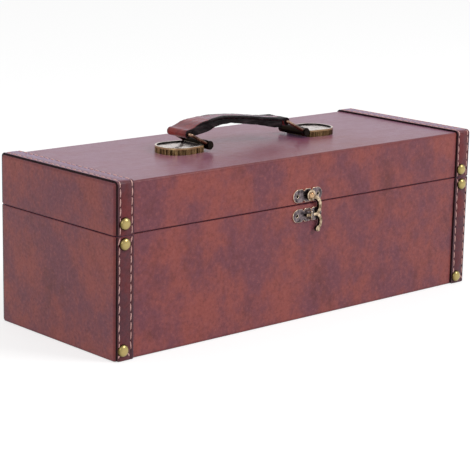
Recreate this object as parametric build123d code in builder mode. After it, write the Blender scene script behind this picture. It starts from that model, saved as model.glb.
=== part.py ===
from build123d import *
import os
from math import cos, radians, sin

# A one-bottle wine box: a fibreboard base and hinged lid under leather, with straps, nails,
# a swing clasp and a folding handle. Millimetres. The origin is the middle of the underside,
# +X runs along the box, the front faces -Y and +Z is up.

os.makedirs("parts", exist_ok=True)

# Box over the leather
box_length = 350.0
box_depth = 129.0
box_height = 121.0
edge_radius = 1.8
top_radius = 1.7
rim_share = 0.78  # of the leather's thickness

# Seam between base and lid
seam_height = 85.6
seam_gap = 0.4

# Walls
board_thickness = 5.0
leather_thickness = 0.9
lining_thickness = 1.2
rim_lip = 9.0
lining_gap = 0.3

# Underside
cover_margin = 12.0
cover_gap = 0.3
cover_drop = 0.3

# Straps over the ends
strap_width = 14.0
strap_thickness = 1.5
strap_inset = 1.1
strap_corner = 1.4
strap_floor_gap = 0.4

# Domed nails in the straps
nail_radius = 4.35
nail_height = 3.0
nail_shank_radius = 0.8
nail_bite = 4.2
# Left nail, then right: each one's shift from the middle of its strap, driven by eye, with its
# distance from the seam for the lid and base nails, and from the floor for the low ones
lid_nails = [(-0.95, 8.2), (-1.9, 6.2)]
base_nails = [(-0.95, 5.5), (-0.5, 5.5)]
low_nails = [(-2.3, 7.7), (-1.9, 6.1)]
shank_gap = 0.05

# Clasp plates
clasp_shift = -0.7
clasp_length = 28.4
clasp_height = 9.6
clasp_thickness = 1.2
clasp_scallop = 1.2
clasp_scallop_offset = 3.8
clasp_pin_offset = 10.1
top_plate_rise = 6.4
catch_plate_drop = 8.0
clasp_pin_radius = 0.5
clasp_pin_head = 1.1
clasp_pin_head_height = 0.6
clasp_pin_length = 4.5

# Clasp hook, rivet and loop
hook_gap = 0.3
hook_thickness = 2.0
hook_eye = 4.0
hook_width = 2.6
hook_bow = 8.7
bow_rise = 1.0
arm_drop = 1.2
tail_width = 2.3
tail_bow = 10.2
tail_drop = 25.5
tail_reach = 7.6
thumb_radius = 2.1
prong_root = 6.1
prong_reach = 3.1
prong_width = 2.0
prong_tip = 1.2
rivet_shift = 1.5
rivet_radius = 1.5
rivet_head = 2.5
rivet_head_height = 1.5
rivet_gap = 0.05
rivet_bite = 3.0
loop_width = 2.2
loop_opening = 4.6
loop_wall = 1.1
loop_reach = 5.0
loop_shift = 1.9
loop_corner = 1.0

# Handle plates
handle_shift = -1.0
pivot_span = 96.0
plate_length = 30.4
plate_width = 34.0
plate_neck = 26.4
plate_height = 5.2
plate_corner = 14.0
plate_inner_corner = 2.0
plate_rim = 1.3
plate_recess = 1.0
plate_setback = 4.6
reed_pitch = 1.8
reed_radius = 0.62
reed_height = 3.9
knuckle_neck = 3.4

# Handle rings
pivot_height = 4.6
leg_length = 19.8
leg_lean = 27.7
wire_radius = 1.2
wire_bend = 2.0
eye_radius = 3.2
eye_thickness = 2.7
eye_gap = 0.3
pin_radius = 1.25
pin_gap = 0.05
pin_head_radius = 2.6
pin_head_height = 0.5

# Handle leather
handle_width = 20.8
handle_side_gap = 0.4
roll_wall = 1.5
roll_gap = 0.35
top_layer = 2.0
core_start = 3.7
core_end = 4.2
crown_tilt = 0.1
# Share of the span from the left bar, and rise over the rolls, of the arched top
handle_crown = [(0.09, 2.9), (0.2, 5.0), (0.35, 6.0), (0.5, 5.3), (0.65, 3.7), (0.8, 1.6), (0.92, 0.3)]
# Share of the length of the layer above, and thickness, of the padding
core_depths = [
    (0.03, 3.2), (0.11, 5.6), (0.22, 6.3), (0.33, 4.3), (0.45, 3.6), (0.62, 3.8),
    (0.76, 4.1), (0.85, 4.9), (0.92, 5.1), (0.97, 4.2),
]
# Share of the span from the left bar, and half width, of the waisted plan
handle_waist = [
    (0.05, 10.4), (0.14, 9.3), (0.26, 7.7), (0.4, 6.6), (0.6, 6.6), (0.74, 7.7), (0.86, 9.3), (0.95, 10.4),
]

# Handle screws
screw_spacing = 18.0
screw_radius = 1.4
screw_head = 2.9
screw_gap = 0.1
screw_bite = 2.6

# Hinges at the back
hinge_spacing = 220.0
hinge_length = 32.0
hinge_leaf = 13.0
hinge_thickness = 1.3
knuckle_radius = 2.2
knuckle_count = 5
knuckle_gap = 0.2
hinge_gap = 0.3
leaf_gap = 0.4
hinge_pin_radius = 1.0
hinge_pin_gap = 0.05
hinge_screw_spacing = 20.0
hinge_screw_radius = 0.9
hinge_screw_head = 1.8
hinge_screw_bite = 4.0

# Bottle rests
bottle_radius = 38.0
bottle_neck_radius = 15.0
bottle_gap = 0.5
bottle_lift = 4.0
rest_thickness = 20.0
# From the middle of each rest to the end wall that it stands nearer
body_rest_setback = 89.1
neck_rest_setback = 54.1
body_rest_height = 27.0
rest_side_gap = 0.3

# Levels and places that follow from the sizes above
half_length = box_length / 2
half_depth = box_depth / 2
base_top = seam_height - seam_gap / 2
lid_bottom = seam_height + seam_gap / 2
board_length = box_length - 2 * leather_thickness
board_depth = box_depth - 2 * leather_thickness
inner_length = board_length - 2 * board_thickness
inner_depth = board_depth - 2 * board_thickness
lip_length = inner_length - 2 * leather_thickness
lip_depth = inner_depth - 2 * leather_thickness
board_floor = cover_drop + leather_thickness
floor_level = board_floor + board_thickness
ceiling_level = box_height - leather_thickness - board_thickness
strap_place = half_length - strap_inset - strap_width / 2
rim_radius = rim_share * leather_thickness
front = Plane((0, -half_depth, 0), x_dir=(1, 0, 0), z_dir=(0, -1, 0))
back = Plane((0, half_depth, 0), x_dir=(-1, 0, 0), z_dir=(0, 1, 0))


def save(part, name):
    """Name a finished piece and write it out."""
    part.label = name
    export_step(part, "parts/" + name + ".step")


def slab(length, depth, low, high, place=(0, 0)):
    """A flat board with its middle at place, between two levels."""
    with BuildPart() as piece:
        with BuildSketch(Plane.XY.offset(low)):
            with Locations(place):
                Rectangle(length, depth)
        extrude(amount=high - low)
    return piece.part


def walls(length, depth, thickness, low, high, part_name):
    """Four upright boards inside a rectangle: long ones at front and back, short ones between."""
    side = length / 2 - thickness / 2
    face = depth / 2 - thickness / 2
    inside = depth - 2 * thickness
    return {
        part_name.format("front"): slab(length, thickness, low, high, (0, -face)),
        part_name.format("back"): slab(length, thickness, low, high, (0, face)),
        part_name.format("left"): slab(thickness, inside, low, high, (-side, 0)),
        part_name.format("right"): slab(thickness, inside, low, high, (side, 0)),
    }


def drilled(part, plane, points, radius, depth, start=0.0):
    """The part with round holes along a plane's normal, inwards from start over depth."""
    with BuildPart() as piece:
        add(part)
        with BuildSketch(plane.offset(start)):
            with Locations(*points):
                Circle(radius)
        extrude(amount=-depth, mode=Mode.SUBTRACT)
    return piece.part


def turned(profile):
    """A round piece about Z from a closed outline of (radius, height) points."""
    with BuildPart() as piece:
        with BuildSketch(Plane.XZ):
            with BuildLine():
                Polyline(*profile, close=True)
            make_face()
        revolve(axis=Axis.Z)
    return piece.part


def placed(part, plane, points):
    """Copies of a round piece, set at points of a plane with their heads along its normal."""
    with BuildPart() as group:
        with Locations(plane):
            with Locations(*points):
                add(part)
    return group.part


# Where nails, clasp pins, handle screws and hinge screws go, in the plane they are driven into
strap_middles = (-strap_place, strap_place)
lid_front_nails, base_front_nails = [], []
for middle, lid_nail, base_nail, low_nail in zip(strap_middles, lid_nails, base_nails, low_nails):
    lid_front_nails.append((middle + lid_nail[0], seam_height + lid_nail[1]))
    base_front_nails.append((middle + base_nail[0], seam_height - base_nail[1]))
    base_front_nails.append((middle + low_nail[0], low_nail[1]))
lid_back_nails = [(-x, z) for x, z in lid_front_nails]
base_back_nails = [(-x, z) for x, z in base_front_nails]

pivot_x = clasp_shift + rivet_shift
top_plate_z = seam_height + top_plate_rise
catch_plate_z = seam_height - catch_plate_drop
clasp_pins_x = [clasp_shift - clasp_pin_offset, clasp_shift + clasp_pin_offset]
top_clasp_pins = [(x, top_plate_z) for x in clasp_pins_x]
catch_clasp_pins = [(x, catch_plate_z) for x in clasp_pins_x]

hinge_centres = [-hinge_spacing / 2, hinge_spacing / 2]
hinge_axis_y = half_depth + hinge_gap + knuckle_radius
hinge_screw_offset = (knuckle_radius + leaf_gap + hinge_leaf) / 2
hinge_screw_x = [
    centre + side * hinge_screw_spacing / 2 for centre in hinge_centres for side in (-1, 1)
]
lid_screws_seen = [(-x, seam_height + hinge_screw_offset) for x in hinge_screw_x]
base_screws_seen = [(-x, seam_height - hinge_screw_offset) for x in hinge_screw_x]

pivot_places = [handle_shift - pivot_span / 2, handle_shift + pivot_span / 2]
plate_places = [
    pivot_places[0] - plate_setback - plate_length / 2,
    pivot_places[1] + plate_setback + plate_length / 2,
]
handle_screw_points = [
    (place + side * screw_spacing / 2, 0) for place in plate_places for side in (-1, 1)
]


def punched(part, face, nails, pins=(), screws=()):
    """A front or back wall layer with the holes that the metalwork is driven through."""
    part = drilled(part, face, nails, nail_shank_radius + shank_gap, nail_bite + leather_thickness)
    if pins:
        pin_depth = clasp_pin_length - clasp_thickness
        part = drilled(part, face, pins, clasp_pin_radius + shank_gap, pin_depth)
    if screws:
        part = drilled(part, face, screws, hinge_screw_radius + shank_gap, hinge_screw_bite)
    return part


# Base carcase
wall_head = base_top - leather_thickness
base_walls = walls(
    board_length, board_depth, board_thickness, board_floor, wall_head, "base_{}_board"
)
base_walls["base_front_board"] = punched(
    base_walls["base_front_board"], front, base_front_nails, pins=catch_clasp_pins
)
base_walls["base_back_board"] = punched(
    base_walls["base_back_board"], back, base_back_nails, screws=base_screws_seen
)
for name, piece in base_walls.items():
    save(piece, name)
save(slab(inner_length, inner_depth, board_floor, floor_level), "base_bottom_board")

# Base leather: one skin on the four walls, turned over the rim and under the box
with BuildPart() as base_leather:
    with BuildSketch(Plane.XY.offset(cover_drop)):
        RectangleRounded(box_length, box_depth, edge_radius)
    extrude(amount=base_top - cover_drop)
    rim_edges = base_leather.faces().sort_by(Axis.Z)[-1].edges()
    hem_edges = base_leather.faces().sort_by(Axis.Z)[0].edges()
    fillet(rim_edges + hem_edges, radius=rim_radius)
    with BuildSketch(Plane.XY.offset(board_floor)):
        Rectangle(board_length, board_depth)
    extrude(amount=base_top - leather_thickness - board_floor, mode=Mode.SUBTRACT)
    with BuildSketch(Plane.XY.offset(cover_drop)):
        Rectangle(box_length - 2 * cover_margin, box_depth - 2 * cover_margin)
    extrude(amount=leather_thickness, mode=Mode.SUBTRACT)
    with BuildSketch(Plane.XY.offset(base_top - leather_thickness)):
        Rectangle(inner_length, inner_depth)
    extrude(amount=leather_thickness, mode=Mode.SUBTRACT)
    with BuildSketch(Plane.XY.offset(base_top - rim_lip)):
        Rectangle(inner_length, inner_depth)
        Rectangle(lip_length, lip_depth, mode=Mode.SUBTRACT)
    extrude(amount=rim_lip)
skin = punched(base_leather.part, front, base_front_nails, pins=catch_clasp_pins)
skin = punched(skin, back, base_back_nails, screws=base_screws_seen)
save(skin, "base_leather")

cover_length = box_length - 2 * (cover_margin + cover_gap)
cover_depth = box_depth - 2 * (cover_margin + cover_gap)
save(slab(cover_length, cover_depth, 0, board_floor), "base_bottom_cover")

# Base lining: velvet on card, a floor and four walls that stop under the leather lip
lining_floor = floor_level + lining_thickness
save(slab(inner_length, inner_depth, floor_level, lining_floor), "base_lining_floor")
lining_top = base_top - rim_lip - lining_gap
for name, piece in walls(
    inner_length, inner_depth, lining_thickness, lining_floor, lining_top, "base_lining_{}"
).items():
    save(piece, name)

# Lid carcase: the top board lies on the four walls
wall_foot = lid_bottom + leather_thickness
lid_walls = walls(
    board_length, board_depth, board_thickness, wall_foot, ceiling_level, "lid_{}_board"
)
lid_walls["lid_front_board"] = punched(
    lid_walls["lid_front_board"], front, lid_front_nails, pins=top_clasp_pins
)
lid_walls["lid_front_board"] = drilled(
    lid_walls["lid_front_board"], front, [(pivot_x, top_plate_z)],
    rivet_radius + shank_gap, rivet_bite + leather_thickness,
)
lid_walls["lid_back_board"] = punched(
    lid_walls["lid_back_board"], back, lid_back_nails, screws=lid_screws_seen
)
for name, piece in lid_walls.items():
    save(piece, name)

top_board = slab(board_length, board_depth, ceiling_level, ceiling_level + board_thickness)
with BuildPart() as lid_top_board:
    add(top_board)
    with BuildSketch(Plane.XY.offset(ceiling_level)):
        with Locations(*handle_screw_points):
            Circle(screw_radius + screw_gap)
    extrude(amount=board_thickness, mode=Mode.SUBTRACT)
    sink = screw_head - screw_radius
    for x, y in handle_screw_points:
        with Locations((x, y, ceiling_level + sink / 2)):
            Cone(screw_head + screw_gap, screw_radius + screw_gap, sink, mode=Mode.SUBTRACT)
save(lid_top_board.part, "lid_top_board")

# Lid leather: one skin over the top and four walls, turned in at the rim
with BuildPart() as lid_leather:
    with BuildSketch(Plane.XY.offset(lid_bottom)):
        RectangleRounded(box_length, box_depth, edge_radius)
    extrude(amount=box_height - lid_bottom)
    fillet(lid_leather.faces().sort_by(Axis.Z)[-1].edges(), radius=top_radius)
    fillet(lid_leather.faces().sort_by(Axis.Z)[0].edges(), radius=rim_radius)
    with BuildSketch(Plane.XY.offset(lid_bottom + leather_thickness)):
        Rectangle(board_length, board_depth)
    extrude(amount=box_height - lid_bottom - 2 * leather_thickness, mode=Mode.SUBTRACT)
    with BuildSketch(Plane.XY.offset(lid_bottom)):
        Rectangle(inner_length, inner_depth)
    extrude(amount=leather_thickness, mode=Mode.SUBTRACT)
    with BuildSketch(Plane.XY.offset(lid_bottom)):
        Rectangle(inner_length, inner_depth)
        Rectangle(lip_length, lip_depth, mode=Mode.SUBTRACT)
    extrude(amount=rim_lip)
skin = punched(lid_leather.part, front, lid_front_nails, pins=top_clasp_pins)
skin = drilled(skin, front, [(pivot_x, top_plate_z)], rivet_radius + shank_gap, leather_thickness)
skin = punched(skin, back, lid_back_nails, screws=lid_screws_seen)
skin = drilled(
    skin, Plane.XY.offset(box_height), handle_screw_points, screw_radius + screw_gap, leather_thickness
)
save(skin, "lid_leather")

# Lid lining
lining_ceiling = ceiling_level - lining_thickness
save(slab(inner_length, inner_depth, lining_ceiling, ceiling_level), "lid_lining_top")
lining_low = lid_bottom + rim_lip + lining_gap
for name, piece in walls(
    inner_length, inner_depth, lining_thickness, lining_low, lining_ceiling, "lid_lining_{}"
).items():
    save(piece, name)

# Bottle rests: a low saddle under the bottle's body and a taller one under its neck
body_rest_place = body_rest_setback - inner_length / 2
neck_rest_place = inner_length / 2 - neck_rest_setback
bottle_axis = lining_floor + bottle_lift + bottle_radius
rest_width = inner_depth - 2 * (lining_thickness + rest_side_gap)


def bottle_rest(place, top, bottle_size):
    """A padded block across the bay with a round saddle for the lying bottle."""
    with BuildPart() as piece:
        with BuildSketch(Plane.YZ.offset(place - rest_thickness / 2)):
            with Locations((0, (lining_floor + top) / 2)):
                Rectangle(rest_width, top - lining_floor)
            with Locations((0, bottle_axis)):
                Circle(bottle_size + bottle_gap, mode=Mode.SUBTRACT)
        extrude(amount=rest_thickness)
    return piece.part


save(bottle_rest(body_rest_place, lining_floor + body_rest_height, bottle_radius), "bottle_body_rest")
save(bottle_rest(neck_rest_place, bottle_axis, bottle_neck_radius), "bottle_neck_rest")

# Straps: each lid strap is one band over the top and down both faces, and the base straps carry it on
outer_radius = top_radius + strap_thickness
for side, sign in (("left", -1), ("right", 1)):
    with BuildPart() as lid_strap:
        with BuildSketch(Plane.YZ.offset(sign * strap_place - strap_width / 2)):
            with BuildLine():
                Polyline(
                    (-half_depth - strap_thickness, lid_bottom),
                    (-half_depth - strap_thickness, box_height + strap_thickness),
                    (half_depth + strap_thickness, box_height + strap_thickness),
                    (half_depth + strap_thickness, lid_bottom),
                    close=True,
                )
            strap_outline = make_face()
            fillet(strap_outline.vertices().group_by(Axis.Y)[-1], radius=outer_radius)
            with BuildLine():
                Polyline(
                    (-half_depth, lid_bottom),
                    (-half_depth, box_height - top_radius),
                    (-half_depth + top_radius, box_height),
                    (half_depth - top_radius, box_height),
                    (half_depth, box_height - top_radius),
                    (half_depth, lid_bottom),
                    close=True,
                )
            make_face(mode=Mode.SUBTRACT)
            for bend in (-1, 1):
                with Locations((bend * (half_depth - top_radius), box_height - top_radius)):
                    Circle(top_radius, mode=Mode.SUBTRACT)
        extrude(amount=strap_width)
    front_holes = [point for point in lid_front_nails if point[0] * sign > 0]
    back_holes = [point for point in lid_back_nails if point[0] * sign < 0]
    hole = nail_shank_radius + shank_gap
    strap = drilled(lid_strap.part, front, front_holes, hole, strap_thickness, start=strap_thickness)
    strap = drilled(strap, back, back_holes, hole, strap_thickness, start=strap_thickness)
    save(strap, "lid_strap_" + side)

for face_name, face, nails in (("front", front, base_front_nails), ("back", back, base_back_nails)):
    for side, sign in (("left", -1), ("right", 1)):
        along = sign if face_name == "front" else -sign
        with BuildPart() as base_strap:
            with BuildSketch(face):
                with Locations((along * strap_place, (strap_floor_gap + base_top) / 2)):
                    strip = Rectangle(strap_width, base_top - strap_floor_gap)
                fillet(strip.vertices().group_by(Axis.Y)[0], radius=strap_corner)
            extrude(amount=strap_thickness)
            with BuildSketch(face.offset(strap_thickness)):
                with Locations(*[point for point in nails if point[0] * along > 0]):
                    Circle(nail_shank_radius + shank_gap)
            extrude(amount=-strap_thickness, mode=Mode.SUBTRACT)
        save(base_strap.part, "base_strap_" + face_name + "_" + side)

# Domed brass nails, each with its shank through strap, leather and into the board
dome_radius = (nail_radius**2 + nail_height**2) / (2 * nail_height)
shank_length = strap_thickness + leather_thickness + nail_bite - shank_gap
with BuildPart() as nail:
    with BuildSketch(Plane.XZ):
        with BuildLine():
            RadiusArc((0, nail_height), (nail_radius, 0), dome_radius)
            Polyline(
                (nail_radius, 0), (nail_shank_radius, 0), (nail_shank_radius, -shank_length),
                (0, -shank_length), (0, nail_height),
            )
        make_face()
    revolve(axis=Axis.Z)
strap_front = front.offset(strap_thickness)
strap_back = back.offset(strap_thickness)
save(placed(nail.part, strap_front, lid_front_nails), "lid_front_nails")
save(placed(nail.part, strap_back, lid_back_nails), "lid_back_nails")
save(placed(nail.part, strap_front, base_front_nails), "base_front_nails")
save(placed(nail.part, strap_back, base_back_nails), "base_back_nails")


# Clasp plates: a scalloped plate on the lid for the hook, and a like one on the base for its loop
def clasp_plate(height, rivet_hole):
    """A plate with rounded ends, four small scallops and two pin holes."""
    with BuildPart() as piece:
        with BuildSketch(front):
            with Locations((clasp_shift, height)):
                SlotOverall(clasp_length, clasp_height)
            for side in (-1, 1):
                for edge in (-1, 1):
                    with Locations(
                        (clasp_shift + side * clasp_scallop_offset, height + edge * clasp_height / 2)
                    ):
                        Circle(clasp_scallop, mode=Mode.SUBTRACT)
                with Locations((clasp_shift + side * clasp_pin_offset, height)):
                    Circle(clasp_pin_head + shank_gap, mode=Mode.SUBTRACT)
            if rivet_hole:
                with Locations((pivot_x, height)):
                    Circle(rivet_radius + rivet_gap, mode=Mode.SUBTRACT)
        extrude(amount=clasp_thickness)
    return piece.part


save(clasp_plate(top_plate_z, True), "clasp_top_plate")
save(clasp_plate(catch_plate_z, False), "clasp_catch_plate")

clasp_pin = turned(
    [
        (0, 0), (clasp_pin_radius, 0), (clasp_pin_radius, clasp_pin_length - clasp_thickness - shank_gap),
        (clasp_pin_head, clasp_pin_length - clasp_thickness - shank_gap),
        (clasp_pin_head, clasp_pin_length - clasp_thickness + clasp_pin_head_height),
        (0, clasp_pin_length - clasp_thickness + clasp_pin_head_height),
    ]
)
pin_seat = front.offset(shank_gap - clasp_pin_length + clasp_thickness)
save(placed(clasp_pin, pin_seat, top_clasp_pins), "clasp_top_pins")
save(placed(clasp_pin, pin_seat, catch_clasp_pins), "clasp_catch_pins")

# Clasp loop: a small staple standing on the catch plate, open along X for the hook's prong
loop_x = clasp_shift + loop_shift
loop_height = loop_opening + 2 * loop_wall
with BuildPart() as clasp_loop:
    with BuildSketch(Plane.YZ.offset(loop_x - loop_width / 2)):
        with Locations((-half_depth - (clasp_thickness + loop_reach) / 2, catch_plate_z)):
            Rectangle(loop_reach - clasp_thickness, loop_height)
        hoop_depth = loop_reach - clasp_thickness - loop_wall
        with Locations((-half_depth - clasp_thickness - hoop_depth / 2, catch_plate_z)):
            Rectangle(hoop_depth, loop_opening, mode=Mode.SUBTRACT)
    extrude(amount=loop_width)
    fillet(clasp_loop.edges().filter_by(Axis.X).group_by(Axis.Y)[0], radius=loop_corner)
save(clasp_loop.part, "clasp_loop")

# Clasp hook: an eye on the rivet, a bowed arm, a prong through the loop and a curled tail
hook_plane = front.offset(clasp_thickness + hook_gap)
root_point = (pivot_x + prong_root, catch_plate_z)
tip_point = (pivot_x - prong_reach, catch_plate_z)
thumb_point = (pivot_x + tail_reach, top_plate_z - tail_drop)
arm_arc = ThreePointArc(
    (pivot_x + hook_eye - hook_width / 2, top_plate_z - arm_drop),
    (pivot_x + hook_bow, (top_plate_z + catch_plate_z) / 2 + bow_rise),
    root_point,
)
tail_arc = ThreePointArc(
    root_point, (pivot_x + tail_bow, (catch_plate_z + thumb_point[1]) / 2), thumb_point
)
with BuildPart() as clasp_hook:
    with BuildSketch(hook_plane):
        with Locations((pivot_x, top_plate_z)):
            Circle(hook_eye)
        SlotArc(arm_arc, hook_width)
        SlotArc(tail_arc, tail_width)
        with Locations(thumb_point):
            Circle(thumb_radius)
        with Locations(((root_point[0] + tip_point[0]) / 2, catch_plate_z)):
            SlotCenterToCenter(root_point[0] - tip_point[0], prong_width)
        with Locations(tip_point):
            Circle(prong_tip)
        with Locations((pivot_x, top_plate_z)):
            Circle(rivet_radius + rivet_gap, mode=Mode.SUBTRACT)
    extrude(amount=hook_thickness)
save(clasp_hook.part, "clasp_hook")

# Clasp rivet: through plate, hook and leather into the lid's front board
rivet_reach = rivet_bite + leather_thickness - shank_gap
head_seat = clasp_thickness + 2 * hook_gap + hook_thickness
with BuildPart() as clasp_rivet:
    with BuildSketch(Plane.XZ):
        with BuildLine():
            Polyline(
                (0, head_seat + rivet_head_height), (0, -rivet_reach), (rivet_radius, -rivet_reach),
                (rivet_radius, head_seat), (rivet_head, head_seat),
            )
            RadiusArc(
                (0, head_seat + rivet_head_height), (rivet_head, head_seat),
                (rivet_head**2 + rivet_head_height**2) / (2 * rivet_head_height),
            )
        make_face()
    revolve(axis=Axis.Z)
save(placed(clasp_rivet.part, front, [(pivot_x, top_plate_z)]), "clasp_rivet")

# Handle plates: cast plates with a raised rim, a reeded side and a knuckle for the ring's pin
lid_face = Plane.XY.offset(box_height)
knuckle_half = handle_width / 2 + handle_side_gap - eye_gap / 2
eye_place = knuckle_half + eye_gap + eye_thickness / 2


def plate_outline(place, outward, level, trim=0.0):
    """A plate's outline seen from above, narrower at its knuckle, drawn in by a trim."""
    inner_x = place - outward * plate_length / 2
    outer_x = place + outward * plate_length / 2
    with BuildSketch(Plane.XY.offset(level)) as outline:
        with BuildLine():
            Polyline(
                (inner_x, -plate_neck / 2), (outer_x, -plate_width / 2),
                (outer_x, plate_width / 2), (inner_x, plate_neck / 2), close=True,
            )
        make_face()
        outer_corners = outline.vertices().filter_by_position(Axis.X, outer_x, outer_x)
        fillet(outer_corners, radius=plate_corner)
        inner_corners = outline.vertices().filter_by_position(Axis.X, inner_x, inner_x)
        fillet(inner_corners, radius=plate_inner_corner)
        offset(amount=-trim)
    return outline.sketch


for side, outward, place, pivot in (
    ("left", -1, plate_places[0], pivot_places[0]), ("right", 1, plate_places[1], pivot_places[1])
):
    edge_line = plate_outline(place, outward, box_height).faces()[0].outer_wire()
    reed_count = round(edge_line.length / reed_pitch)
    reeds = [edge_line @ (step / reed_count) for step in range(reed_count)]
    with BuildPart() as handle_plate:
        with BuildSketch(lid_face):
            add(plate_outline(place, outward, 0))
        extrude(amount=plate_height)
        with BuildSketch(lid_face):
            with Locations(*[(point.X, point.Y) for point in reeds]):
                Circle(reed_radius)
        extrude(amount=reed_height, mode=Mode.SUBTRACT)
        with BuildSketch(lid_face.offset(plate_height)):
            add(plate_outline(place, outward, 0, trim=plate_rim))
        extrude(amount=-plate_recess, mode=Mode.SUBTRACT)
        neck_start = place - outward * (plate_length / 2 - plate_rim)
        with BuildSketch(lid_face.offset(pivot_height - knuckle_neck / 2)):
            with Locations(((neck_start + pivot) / 2, 0)):
                Rectangle(abs(pivot - neck_start), 2 * knuckle_half)
        extrude(amount=min(knuckle_neck, plate_height - pivot_height + knuckle_neck / 2))
        with BuildSketch(Plane.XZ):
            with Locations((pivot, box_height + pivot_height)):
                Circle(eye_radius)
        extrude(amount=knuckle_half, both=True)
        with BuildSketch(Plane.XZ):
            with Locations((pivot, box_height + pivot_height)):
                Circle(pin_radius)
        extrude(amount=knuckle_half, both=True, mode=Mode.SUBTRACT)
        with BuildSketch(lid_face):
            with Locations(*[point for point in handle_screw_points if point[0] * place > 0]):
                Circle(screw_radius)
        extrude(amount=screw_bite, mode=Mode.SUBTRACT)
    save(handle_plate.part, "handle_plate_" + side)

    # The pin is pressed through the knuckle, with a peened head outside each eye of the ring
    pin_end = eye_place + eye_thickness / 2 + eye_gap
    with BuildPart() as ring_pin:
        with BuildSketch(Plane.XZ):
            with Locations((pivot, box_height + pivot_height)):
                Circle(pin_radius)
        extrude(amount=pin_end, both=True)
        for end in (-1, 1):
            with BuildSketch(Plane.XZ.offset(end * pin_end)):
                with Locations((pivot, box_height + pivot_height)):
                    Circle(pin_head_radius)
            extrude(amount=end * pin_head_height)
    save(ring_pin.part, "handle_pin_" + side)

# Handle rings: round wire bent to a square bow, with an eye at each foot
lean_run = leg_length * cos(radians(leg_lean))
lean_rise = leg_length * sin(radians(leg_lean))
for side, pivot in (("left", pivot_places[0]), ("right", pivot_places[1])):
    ring_plane = Plane(
        (pivot, 0, box_height + pivot_height),
        x_dir=(0, 1, 0),
        z_dir=(sin(radians(leg_lean)), 0, cos(radians(leg_lean))),
    )
    with BuildPart() as handle_ring:
        with BuildLine(ring_plane) as wire_line:
            FilletPolyline(
                (-eye_place, 0), (-eye_place, leg_length), (eye_place, leg_length), (eye_place, 0),
                radius=wire_bend,
            )
        with BuildSketch(Plane(wire_line.line @ 0, z_dir=wire_line.line % 0)):
            Circle(wire_radius)
        sweep()
        for end in (-1, 1):
            with BuildSketch(Plane.XZ.offset(end * (eye_place - eye_thickness / 2))):
                with Locations((pivot, box_height + pivot_height)):
                    Circle(eye_radius)
            extrude(amount=end * eye_thickness)
        with BuildSketch(Plane.XZ):
            with Locations((pivot, box_height + pivot_height)):
                Circle(pin_radius + pin_gap)
        extrude(amount=eye_place + eye_thickness, both=True, mode=Mode.SUBTRACT)
    save(handle_ring.part, "handle_ring_" + side)

# Handle leather: an arched top layer rolled round both bars, and a thicker padding under it
bar_left = pivot_places[0] - lean_run
bar_level = box_height + pivot_height + lean_rise
roll_radius = wire_radius + roll_gap + roll_wall
roll_top = bar_level + roll_radius


def span_point(share, level):
    """A point of the handle's side view, at a share of the span from the left bar."""
    return (bar_left + share * pivot_span, level)


crown = [span_point(0, roll_top)] + [span_point(s, roll_top + rise) for s, rise in handle_crown]
crown += [span_point(1, roll_top)]
end_tangents = [(1, crown_tilt), (1, 0)]
crown_line = Spline(*crown, tangents=end_tangents)
layer_line = Spline(*[(x, z - top_layer) for x, z in crown], tangents=end_tangents)

# The handle's plan: full width at the bars and slimmer between them
waist = [span_point(share, half) for share, half in handle_waist]
with BuildSketch() as handle_plan:
    with BuildLine():
        near = Spline(*[(x, -half) for x, half in waist], tangents=[(1, 0), (1, 0)])
        far = Spline(*waist, tangents=[(1, 0), (1, 0)])
        Line(near @ 0, far @ 0)
        Line(near @ 1, far @ 1)
    make_face()
    for share in (0, 1):
        with Locations(span_point(share, 0)):
            Rectangle(2 * (waist[0][0] - bar_left), handle_width)
handle_ceiling = box_height + 2 * leg_length

with BuildPart() as handle_top:
    with BuildSketch(Plane.XZ):
        with BuildLine():
            add(crown_line)
            Line(crown_line @ 1, layer_line @ 1)
            add(layer_line)
            Line(layer_line @ 0, crown_line @ 0)
        make_face()
        for share in (0, 1):
            with Locations(span_point(share, bar_level)):
                Circle(roll_radius)
        for share in (0, 1):
            with Locations(span_point(share, bar_level)):
                Circle(wire_radius + roll_gap, mode=Mode.SUBTRACT)
    extrude(amount=handle_width / 2, both=True)
    extrude(handle_plan.sketch, amount=handle_ceiling, mode=Mode.INTERSECT)
save(handle_top.part, "handle_top_leather")

core_points = []
for share, depth in core_depths:
    above = layer_line @ share
    core_points.append((above.X, above.Y - depth))
core_line = Spline(*core_points)
with BuildPart() as handle_core:
    with BuildSketch(Plane.XZ):
        with BuildLine():
            add(layer_line)
            Line(layer_line @ 0, core_line @ 0)
            add(core_line)
            Line(core_line @ 1, layer_line @ 1)
        make_face()
        for share, run in ((0, core_start), (1, core_end)):
            with Locations(span_point(share, bar_level)):
                Rectangle(2 * run, 2 * leg_length, mode=Mode.SUBTRACT)
    extrude(amount=handle_width / 2, both=True)
    extrude(handle_plan.sketch, amount=handle_ceiling, mode=Mode.INTERSECT)
save(handle_core.part, "handle_padding")

# Handle screws: countersunk from inside the lid, up through the board into each plate
sink = screw_head - screw_radius
screw_length = board_thickness + leather_thickness + screw_bite - screw_gap
handle_screw = turned(
    [(0, 0), (screw_head, 0), (screw_radius, sink), (screw_radius, screw_length), (0, screw_length)]
)
save(placed(handle_screw, Plane.XY.offset(ceiling_level), handle_screw_points), "handle_screws")


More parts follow.
